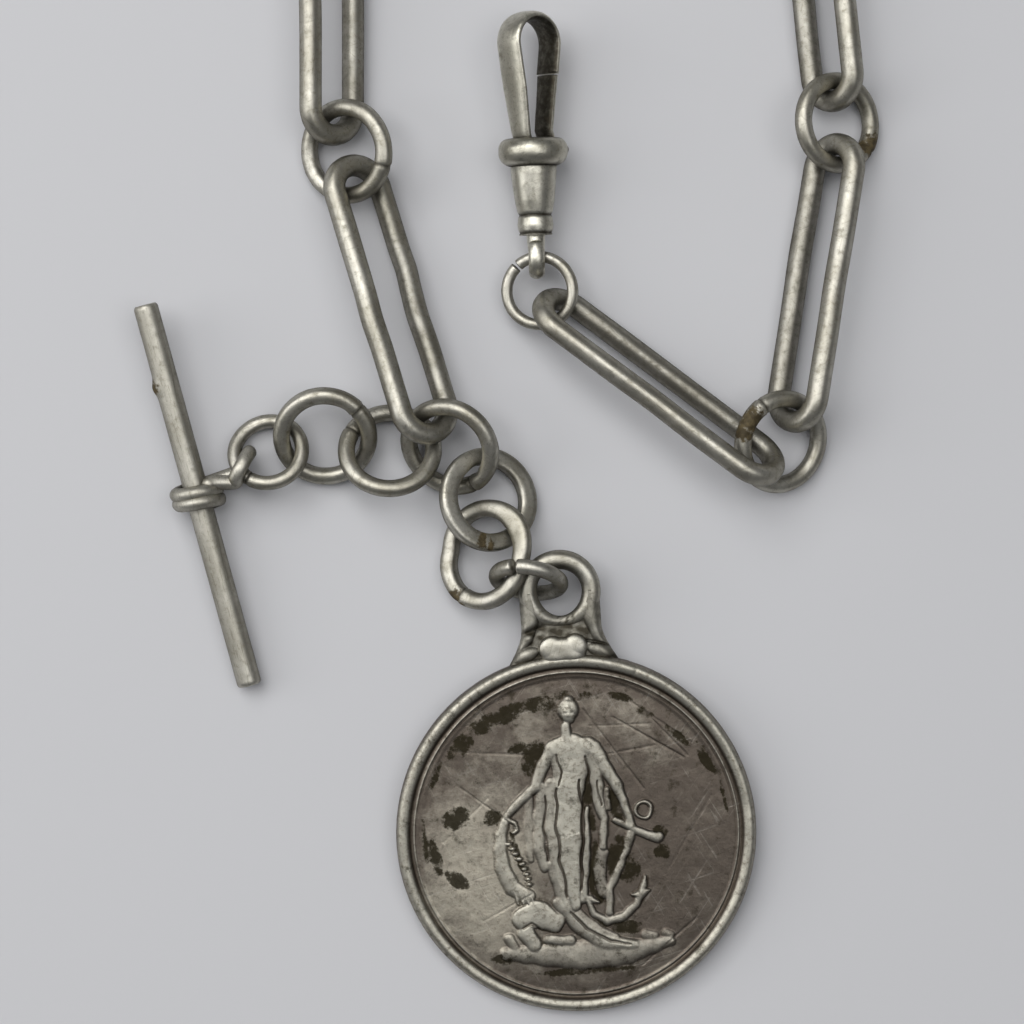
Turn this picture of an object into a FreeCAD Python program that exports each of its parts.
import FreeCAD, Part
# A gentleman's silver pocket watch chain, lying loose on a flat surface.
#
# Nine long paperclip links are joined by round rings into one strand.  The strand starts at a
# junction ring and ends in a swivelling dog clip for the watch.  Two short tails of rings leave
# the same junction ring: one ends in a T-bar for the waistcoat buttonhole, one in a school medal.
#
# Units are millimetres.  +Z is up, the surface is Z = 0, and +Y runs along the doubled strand.
# The origin is the middle of the whole chain's footprint.
import math
import os
from collections import namedtuple

from FreeCAD import Placement, Rotation, Vector

X = Vector(1, 0, 0)
Y = Vector(0, 1, 0)
Z = Vector(0, 0, 1)
ORIGIN = Vector(0, 0, 0)

# ---- driving dimensions ------------------------------------------------------------------------
LINK_LENGTH = 31.8
LINK_WIDTH = 7.9
LINK_WIRE = 2.3

RING_OUTER = 11.0
RING_WIRE = 1.8
WORN_RING_OUTER = 10.6
SMALL_RING_OUTER = 8.7
SMALL_RING_WIRE = 1.5
OVAL_RING_WIDTH = 10.2
OVAL_RING_LENGTH = 11.6
BAND_RING_WIDTH = 1.9
BAND_RING_THICKNESS = 1.4
BAND_RING_EDGE = 0.5
JUMP_RING_OUTER = 8.4
JUMP_RING_WIRE = 1.6
CLASP_RING_OUTER = 8.3
CLASP_RING_WIRE = 1.2

BAR_LENGTH = 41.4
BAR_DIAMETER = 2.6
BAR_CHAMFER = 0.3
COLLAR_WIRE = 1.4
COLLAR_TURNS = 2
COLLAR_PITCH = 1.3
SOLDER_WALL = 0.35
BAR_EYE_RADIUS = 1.95
BAR_EYE_NECK = 0.95
BAR_LIFT = 0.07
BAR_EYE_LIFT = 0.1

MEDAL_DIAMETER = 37.9
MEDAL_THICKNESS = 2.3
MEDAL_RIM = 1.3
MEDAL_RECESS = 0.45
MEDAL_EDGE = 0.5
BAIL_DISTANCE = 25.5
BAIL_RADIUS = 3.33
BAIL_WIRE = 2.05
FLARE_FOOT = 12.5
FLARE_NECK = 8.2
FLARE_THICKNESS = 1.7
FLARE_HEIGHT = 5.0
FLARE_SINK = 1.0
BOSS_LENGTH = 5.1
BOSS_WIDTH = 2.5
BOSS_THICKNESS = 2.6
BOSS_SINK = 0.6
BOSS_EDGE = 0.3

COLLAR_RADIUS = 3.7
COLLAR_HALF = 1.6
COLLAR_EDGE = 0.7
CONE_TOP_RADIUS = 2.5
CONE_FOOT_RADIUS = 1.85
CONE_LENGTH = 5.1
BEAD_RADIUS = 1.9
BEAD_LENGTH = 2.1
BEAD_EDGE = 0.6
SWIVEL_BORE = 1.15
SWIVEL_CAVITY_RADIUS = 1.55
SWIVEL_CAVITY_LENGTH = 2.6
SHANK_RADIUS = 1.05
RIVET_RADIUS = 1.4
RIVET_LENGTH = 1.0
CLASP_EYE_RADIUS = 1.55
CLASP_EYE_WIRE = 1.3
CLASP_GAP = 0.2
CLASP_LIFT = 0.2

HOOK_BAND = 1.0
HOOK_WIDTH = 3.0
HOOK_NOSE_RADIUS = 3.3
HOOK_NOSE_AT = 11.2
HOOK_NECK_RADIUS = 2.7
HOOK_NECK_AT = 2.4
GATE_WIDTH = 2.6
GATE_TOP = 8.0
GATE_JOINT_GAP = 0.15
PIN_SIDE = 2.3
PIN_RADIUS = 0.5
PIN_HALF_LENGTH = 2.9
PIN_CLEARANCE = 0.06
KNUCKLE_RADIUS = 0.9
KNUCKLE_LOW = -1.3
KNUCKLE_HIGH = 0.6
ARM_LAP = 0.5
SLOT_HALF_WIDTH = 1.45
SLOT_DEPTH = 0.7
SLOT_FOOT = 1.1
SPRING_WIRE = 0.3
SPRING_RADIUS = 0.72
SPRING_COILS = 2
SPRING_PITCH = 0.28
SPRING_START = 0.88

# ---- how the pieces lie ------------------------------------------------------------------------
# A loop of wire is two straight rails, each 2 x half long, joined by half turns of the given
# centre-line radius.  A ring is a loop with no rails.
Loop = namedtuple("Loop", "half radius wire")

# A piece lies with its centre over (x, y).  heading turns its long axis in the plane of the
# surface, roll lifts its left rail, pitch lifts its leading end, and lift is how far its lowest
# point stands off the surface, where another piece holds it up.  Angles are in degrees.
Lie = namedtuple("Lie", "x y heading roll pitch lift")


def round_ring(outer, wire):
    """The loop of a plain round ring, from its outer diameter."""
    return Loop(0, (outer - wire) / 2, wire)


LINK = Loop((LINK_LENGTH - LINK_WIDTH) / 2, (LINK_WIDTH - LINK_WIRE) / 2, LINK_WIRE)
RING = round_ring(RING_OUTER, RING_WIRE)
WORN_RING = round_ring(WORN_RING_OUTER, RING_WIRE)
SMALL_RING = round_ring(SMALL_RING_OUTER, SMALL_RING_WIRE)
OVAL_RING = Loop((OVAL_RING_LENGTH - OVAL_RING_WIDTH) / 2, (OVAL_RING_WIDTH - RING_WIRE) / 2, RING_WIRE)
BAND_RING = round_ring(RING_OUTER, BAND_RING_WIDTH)
JUMP_RING = round_ring(JUMP_RING_OUTER, JUMP_RING_WIRE)
CLASP_RING = round_ring(CLASP_RING_OUTER, CLASP_RING_WIRE)

# The bar's tail, from the T-bar to the junction ring.
BAR_TAIL = {
    "bar_ring_1": (SMALL_RING, Lie(-25.6, 6.3, 13, -25, 1, 0.1)),
    "bar_ring_2": (RING, Lie(-19.6, 7.95, 0, 25, 0, 0)),
    "bar_ring_3": (RING, Lie(-12.8, 6.45, 1, -29, -2, 0)),
}

# The junction ring and the medal's tail.
MEDAL_TAIL = {
    "junction_ring": (RING, Lie(-6.5, 6.8, -40, 34, -1, 0.25)),
    "drop_ring_1": (BAND_RING, Lie(-2.5, 1.3, 105, 27, -3, 0.1)),
    "drop_ring_2": (OVAL_RING, Lie(-2.8, -4.5, 80, -28, -2, 0.1)),
    "medal_ring": (JUMP_RING, Lie(1.7, -7.1, -9, 66, -1.5, 0.3)),
}

# The strand, from the junction ring up the left, round the far arch and down the right.
STRAND = {
    "chain_link_1": (LINK, Lie(-12.7, 22.3, 107, 34, -4, 0.25)),
    "chain_ring_1": (RING, Lie(-17.35, 37.8, 102, -31, 1.5, 0)),
    "chain_link_2": (LINK, Lie(-18.9, 54.3, 90, 41, 1, 0.15)),
    "chain_ring_2": (RING, Lie(-18.8, 71.4, 75, -29, 3, 0)),
    "chain_link_3": (LINK, Lie(-17.0, 88.4, 84, 42, 2, 0)),
    "chain_ring_3": (RING, Lie(-14.5, 105.3, 75, -29, -5, 0.15)),
    "chain_link_4": (LINK, Lie(-4.05, 118.8, 50, 47, 2, 0.55)),
    "chain_ring_4": (RING, Lie(7.8, 130.7, 1, -30, 3, 0.05)),
    "chain_link_5": (LINK, Lie(21.3, 120.8, -42, 47, -3, 0.3)),
    "chain_ring_5": (RING, Lie(33.1, 108.7, -60, -22, -3, 0.2)),
    "chain_link_6": (LINK, Lie(32.6, 91.8, -96, 46, 0, 0.3)),
    "chain_ring_6": (RING, Lie(30.8, 74.75, -95, -35, 2, 0.1)),
    "chain_link_7": (LINK, Lie(32.2, 57.7, 96.5, -46.5, 0, 0.2)),
    "chain_ring_7": (WORN_RING, Lie(34.1, 40.8, 91, 31, 0, 0)),
    "chain_link_8": (LINK, Lie(31.85, 24.0, 81, -49, 0, 0.15)),
    "chain_ring_8": (RING, Lie(28.2, 7.4, 80, 28, 8, 0)),
    "chain_link_9": (LINK, Lie(15.3, 13.1, -37, -53, 4, 0.25)),
    "clasp_ring": (CLASP_RING, Lie(2.9, 23.2, 87, -14, 5, 1.35)),
}

LOOPS = {**BAR_TAIL, **MEDAL_TAIL, **STRAND}

# The T-bar rests on its wound collar and its lower end; the clasp on its collar and its eye.
BAR_HEIGHT = BAR_DIAMETER / 2 + COLLAR_WIRE + BAR_LIFT
BAR_LIE = Lie(-33.0, 1.7, 105, 0, 4, BAR_HEIGHT)
BAR_EYE_LIE = Lie(-28.6, 4.7, 53, 90, 0, BAR_EYE_RADIUS + COLLAR_WIRE / 2 + BAR_EYE_LIFT)
CLASP_LIE = Lie(2.2, 37.8, 92, 40, 4, COLLAR_RADIUS + CLASP_LIFT)
SWIVEL_LIE = CLASP_LIE._replace(roll=90)
MEDAL_PITCH = 3
MEDAL_LIE = Lie(6.75, -33.7, 94, 0, MEDAL_PITCH,
                MEDAL_DIAMETER / 2 * math.sin(math.radians(MEDAL_PITCH)) + MEDAL_THICKNESS / 2)


def turning(lie):
    """The rotation from a piece's own axes (long, across, normal) to how it lies."""
    heading = Rotation(Z, lie.heading)
    pitch = Rotation(Y, -lie.pitch)
    roll = Rotation(X, lie.roll)
    return heading.multiply(pitch).multiply(roll)


def held(lie):
    """The placement of a piece whose lift is the height of its own origin."""
    return Placement(Vector(lie.x, lie.y, lie.lift), turning(lie))


def resting(loop, lie):
    """The placement of a loop of wire, stood on its lowest point plus its lift."""
    turn = turning(lie)
    rise_along = turn.multVec(X).z
    rise_across = turn.multVec(Y).z
    height = loop.half * abs(rise_along) + loop.radius * math.hypot(rise_along, rise_across)
    return Placement(Vector(lie.x, lie.y, height + loop.wire / 2 + lie.lift), turn)


def placed(shape, placement):
    """The shape moved to a placement, with its points written in the chain's frame."""
    moved = shape.copy()
    moved.transformShape(placement.toMatrix())
    return moved


# ---- wire loops --------------------------------------------------------------------------------
def torus(radius, wire, centre=ORIGIN, axis=Z, sweep=360):
    """A ring of round wire, or part of one, about an axis."""
    return Part.makeTorus(radius, wire / 2, centre, axis, 0, 360, sweep)


def half_turn(loop, side):
    """One rounded end of a link; side is +1 for the leading end and -1 for the other."""
    end = torus(loop.radius, loop.wire, sweep=180)
    end.rotate(ORIGIN, Z, -90 * side)
    end.translate(Vector(loop.half * side, 0, 0))
    return end


def rail(loop, side):
    """One straight rail of a link."""
    start = Vector(-loop.half, loop.radius * side, 0)
    return Part.makeCylinder(loop.wire / 2, loop.half * 2, start, X)


def wire_loop(loop):
    """A closed loop of round wire, flat in its own XY plane."""
    if loop.half == 0:
        return torus(loop.radius, loop.wire)
    first = half_turn(loop, 1)
    return first.fuse([half_turn(loop, -1), rail(loop, 1), rail(loop, -1)]).removeSplitter().Solids[0]


def round_edges(shape, radius):
    """The shape with every whole circular edge rounded."""
    circles = [edge for edge in shape.Edges if isinstance(edge.Curve, Part.Circle)]
    return shape.makeFillet(radius, circles).Solids[0]


def band_ring(loop):
    """A ring hammered flat, with a rounded rectangular section."""
    foot = Vector(0, 0, -BAND_RING_THICKNESS / 2)
    blank = Part.makeCylinder(loop.radius + loop.wire / 2, BAND_RING_THICKNESS, foot)
    hole = Part.makeCylinder(loop.radius - loop.wire / 2, BAND_RING_THICKNESS, foot)
    return round_edges(blank.cut(hole), BAND_RING_EDGE)


def loops():
    """Every link and ring, each in its own node."""
    made = {}
    for name, (loop, lie) in LOOPS.items():
        shape = band_ring(loop) if loop == BAND_RING else wire_loop(loop)
        made[name] = placed(shape, resting(loop, lie))
    return made


# ---- T-bar -------------------------------------------------------------------------------------
def t_bar():
    """The plain rod, along its own X, with slightly chamfered flat ends."""
    rod = Part.makeCylinder(BAR_DIAMETER / 2, BAR_LENGTH, Vector(-BAR_LENGTH / 2, 0, 0), X)
    ends = [edge for edge in rod.Edges if isinstance(edge.Curve, Part.Circle)]
    return placed(rod.makeChamfer(BAR_CHAMFER, ends).Solids[0], held(BAR_LIE))


def bar_collar_eye():
    """The wire wound round the bar, the eye that its end makes, and the soldered neck between."""
    bore = BAR_DIAMETER / 2
    length = COLLAR_PITCH * COLLAR_TURNS
    sleeve = Part.makeCylinder(bore + SOLDER_WALL, length, Vector(-length / 2, 0, 0), X)
    turns = []
    for index in range(COLLAR_TURNS):
        along = (index - (COLLAR_TURNS - 1) / 2) * COLLAR_PITCH
        turns.append(torus(bore + COLLAR_WIRE / 2, COLLAR_WIRE, Vector(along, 0, 0), X))
    collar = placed(sleeve.fuse(turns), held(BAR_LIE))
    eye = placed(torus(BAR_EYE_RADIUS, COLLAR_WIRE), held(BAR_EYE_LIE))
    near_side = held(BAR_EYE_LIE).multVec(Vector(-BAR_EYE_RADIUS, 0, 0))
    reach = near_side - held(BAR_LIE).Base
    neck = Part.makeCylinder(BAR_EYE_NECK, reach.Length, held(BAR_LIE).Base, reach)
    tunnel = placed(Part.makeCylinder(bore, BAR_LENGTH, Vector(-BAR_LENGTH / 2, 0, 0), X), held(BAR_LIE))
    return collar.fuse([neck, eye]).cut(tunnel).removeSplitter().Solids[0]


# ---- medal -------------------------------------------------------------------------------------
def medal_disc():
    """The struck disc: a rounded rim standing proud of a plain field on both faces."""
    radius = MEDAL_DIAMETER / 2
    half = MEDAL_THICKNESS / 2
    blank = Part.makeCylinder(radius, MEDAL_THICKNESS, Vector(0, 0, -half))
    blank = round_edges(blank, MEDAL_EDGE)
    for foot in (half - MEDAL_RECESS, -half):
        blank = blank.cut(Part.makeCylinder(radius - MEDAL_RIM, MEDAL_RECESS, Vector(0, 0, foot)))
    return blank.Solids[0]


def medal_bail():
    """The fixed ring on the medal's top."""
    return torus(BAIL_RADIUS, BAIL_WIRE, Vector(BAIL_DISTANCE, 0, 0))


def slab(corners, thickness):
    """A slab in the XY plane with the given corners, centred on Z = 0."""
    lifted = [Vector(x, y, -thickness / 2) for x, y in corners + corners[:1]]
    return Part.Face(Part.makePolygon(lifted)).extrude(Vector(0, 0, thickness))


def medal_shoulder():
    """The flared web and the lobed boss that carry the bail on the rim."""
    foot_at = MEDAL_DIAMETER / 2 - FLARE_SINK
    neck_at = foot_at + FLARE_HEIGHT
    foot_side = FLARE_FOOT / 2
    neck_side = FLARE_NECK / 2
    corners = [(foot_at, -foot_side), (neck_at, -neck_side), (neck_at, neck_side), (foot_at, foot_side)]
    web = slab(corners, FLARE_THICKNESS)
    boss_at = MEDAL_DIAMETER / 2 + BOSS_WIDTH / 2 - BOSS_SINK
    lobe_side = (BOSS_LENGTH - BOSS_WIDTH) / 2
    foot = -BOSS_THICKNESS / 2
    lobes = []
    for side in (-1, 0, 1):
        centre = Vector(boss_at, side * lobe_side, foot)
        lobes.append(round_edges(Part.makeCylinder(BOSS_WIDTH / 2, BOSS_THICKNESS, centre), BOSS_EDGE))
    disc = Part.makeCylinder(MEDAL_DIAMETER / 2, 2 * MEDAL_THICKNESS, Vector(0, 0, -MEDAL_THICKNESS))
    hole = Part.makeCylinder(BAIL_RADIUS, 2 * MEDAL_THICKNESS, Vector(BAIL_DISTANCE, 0, -MEDAL_THICKNESS))
    return web.fuse(lobes).cut([disc, hole, medal_bail()]).removeSplitter().Solids[0]


def medal():
    """The medal's three soldered pieces, where they lie."""
    place = held(MEDAL_LIE)
    return {
        "medal_disc": placed(medal_disc(), place),
        "medal_shoulder": placed(medal_shoulder(), place),
        "medal_bail": placed(medal_bail(), place),
    }


# ---- clasp -------------------------------------------------------------------------------------
# In the clasp's own frame X runs from the eye to the hook's nose and Z along the gate's pin.
CONE_FOOT_AT = -COLLAR_HALF - CONE_LENGTH
BEAD_FOOT_AT = CONE_FOOT_AT - BEAD_LENGTH
CLASP_EYE_AT = BEAD_FOOT_AT - CLASP_GAP - CLASP_EYE_RADIUS - CLASP_EYE_WIRE / 2
RIVET_FOOT_AT = CONE_FOOT_AT + SWIVEL_CAVITY_LENGTH / 2 + CLASP_GAP
PIN_FOOT = Vector(0, -PIN_SIDE, -PIN_HALF_LENGTH)


def rod_along(radius, start, end):
    """A round rod on the clasp's long axis."""
    return Part.makeCylinder(radius, end - start, Vector(start, 0, 0), X)


def gate_pin(clearance=0.0):
    """The gate's hinge pin, or the hole for it."""
    return Part.makeCylinder(PIN_RADIUS + clearance, PIN_HALF_LENGTH * 2, PIN_FOOT)


def clasp_collar():
    """The round collar that carries the hook and the gate's pin."""
    collar = round_edges(rod_along(COLLAR_RADIUS, -COLLAR_HALF, COLLAR_HALF), COLLAR_EDGE)
    slot_start = Vector(-SLOT_FOOT, -COLLAR_RADIUS, -SLOT_HALF_WIDTH)
    slot = Part.makeBox(SLOT_FOOT + COLLAR_HALF, COLLAR_RADIUS - SLOT_DEPTH, SLOT_HALF_WIDTH * 2, slot_start)
    return collar.cut([slot, gate_pin()]).Solids[0]


def clasp_barrel():
    """The tapered barrel and its end bead, bored for the swivelling shank."""
    cone = Part.makeCone(CONE_FOOT_RADIUS, CONE_TOP_RADIUS, CONE_LENGTH, Vector(CONE_FOOT_AT, 0, 0), X)
    bead = round_edges(rod_along(BEAD_RADIUS, BEAD_FOOT_AT, CONE_FOOT_AT), BEAD_EDGE)
    cavity_at = RIVET_FOOT_AT - CLASP_GAP
    bore = rod_along(SWIVEL_BORE, BEAD_FOOT_AT, cavity_at)
    cavity = rod_along(SWIVEL_CAVITY_RADIUS, cavity_at, cavity_at + SWIVEL_CAVITY_LENGTH)
    return cone.fuse(bead).cut([bore, cavity]).removeSplitter().Solids[0]


def swivel_eye():
    """The eye, its shank, and the rivet head that keeps it in the barrel."""
    eye = torus(CLASP_EYE_RADIUS, CLASP_EYE_WIRE, Vector(CLASP_EYE_AT, 0, 0))
    shank_start = CLASP_EYE_AT + CLASP_EYE_RADIUS
    shank = rod_along(SHANK_RADIUS, shank_start, RIVET_FOOT_AT)
    rivet = rod_along(RIVET_RADIUS, RIVET_FOOT_AT, RIVET_FOOT_AT + RIVET_LENGTH)
    return eye.fuse([shank, rivet]).removeSplitter().Solids[0]


def pear(inset, width):
    """A pear-shaped slab: two circles and their common tangents, inset all round."""
    nose = HOOK_NOSE_RADIUS - inset
    neck = HOOK_NECK_RADIUS - inset
    lean = math.asin((nose - neck) / (HOOK_NOSE_AT - HOOK_NECK_AT))
    outward = Vector(-math.sin(lean), math.cos(lean), 0)
    mirrored = Vector(outward.x, -outward.y, 0)
    nose_at = Vector(HOOK_NOSE_AT, 0, 0)
    neck_at = Vector(HOOK_NECK_AT, 0, 0)
    upper = (neck_at + outward * neck, nose_at + outward * nose)
    lower = (nose_at + mirrored * nose, neck_at + mirrored * neck)
    edges = [
        Part.LineSegment(upper[0], upper[1]),
        Part.Arc(upper[1], nose_at + X * nose, lower[0]),
        Part.LineSegment(lower[0], lower[1]),
        Part.Arc(lower[1], neck_at - X * neck, upper[0]),
    ]
    outline = Part.Wire([edge.toShape() for edge in edges])
    outline.translate(Vector(0, 0, -width / 2))
    return Part.Face(outline).extrude(Vector(0, 0, width))


def hook_band(width):
    """The closed pear-shaped band that the hook and its gate are cut from."""
    return pear(0, width).cut(pear(HOOK_BAND, width))


def clasp_hook():
    """The fixed side of the hook, over the nose and down to the gate's joint."""
    reach = 2 * HOOK_NOSE_AT
    below_collar = Part.makeBox(reach, reach, reach, Vector(COLLAR_HALF - reach, -reach / 2, -reach / 2))
    gate_side = Part.makeBox(reach, reach, reach, Vector(GATE_TOP - reach, -reach, -reach / 2))
    return hook_band(HOOK_WIDTH).cut([below_collar, gate_side]).Solids[0]


def clasp_gate():
    """The sprung gate: its curved bar, and the knuckle that turns on the pin."""
    reach = 2 * HOOK_NOSE_AT
    length = GATE_TOP - GATE_JOINT_GAP - HOOK_NECK_AT
    window = Part.makeBox(length, reach, reach, Vector(HOOK_NECK_AT, -reach, -reach / 2))
    bar = hook_band(GATE_WIDTH).common(window)
    knuckle_length = KNUCKLE_HIGH - KNUCKLE_LOW
    knuckle = Part.makeCylinder(KNUCKLE_RADIUS, knuckle_length, Vector(0, -PIN_SIDE, KNUCKLE_LOW))
    arm_start = Vector(0, -PIN_SIDE - HOOK_BAND / 2, KNUCKLE_LOW)
    arm = Part.makeBox(HOOK_NECK_AT + ARM_LAP, HOOK_BAND, knuckle_length, arm_start)
    return bar.fuse([knuckle, arm]).cut(gate_pin(PIN_CLEARANCE)).removeSplitter().Solids[0]


def gate_spring():
    """The little coil on the pin beside the knuckle that closes the gate."""
    coils = []
    for index in range(SPRING_COILS):
        centre = Vector(0, -PIN_SIDE, SPRING_START + index * SPRING_PITCH)
        coils.append(torus(SPRING_RADIUS, SPRING_WIRE, centre))
    return coils[0].fuse(coils[1:]).removeSplitter().Solids[0]


def clasp():
    """The dog clip's pieces, where they lie."""
    pieces = {
        "clasp_collar": clasp_collar(),
        "clasp_barrel": clasp_barrel(),
        "clasp_hook": clasp_hook(),
        "clasp_gate": clasp_gate(),
        "gate_pin": gate_pin(),
        "gate_spring": gate_spring(),
    }
    made = {name: placed(shape, held(CLASP_LIE)) for name, shape in pieces.items()}
    made["swivel_eye"] = placed(swivel_eye(), held(SWIVEL_LIE))
    return made


# ---- the whole chain ---------------------------------------------------------------------------
def pieces_as_laid():
    """Every node's solid, where the lies above put it."""
    return {"t_bar": t_bar(), "bar_collar_eye": bar_collar_eye(), **loops(), **medal(), **clasp()}


def footprint_shift(shapes):
    """The move that puts the middle of the footprint at the origin and its lowest point on Z = 0."""
    box = Part.makeCompound(list(shapes.values())).optimalBoundingBox(False)
    return Vector(-box.Center.x, -box.Center.y, -box.ZMin)


def build():
    """Every node's solid, in the chain's own frame."""
    shapes = pieces_as_laid()
    shift = footprint_shift(shapes)
    return {name: placed(shape, Placement(shift, Rotation())) for name, shape in shapes.items()}


def main():
    os.makedirs("parts", exist_ok=True)
    for name, shape in build().items():
        shape.exportStep(f"parts/{name}.step")


main()
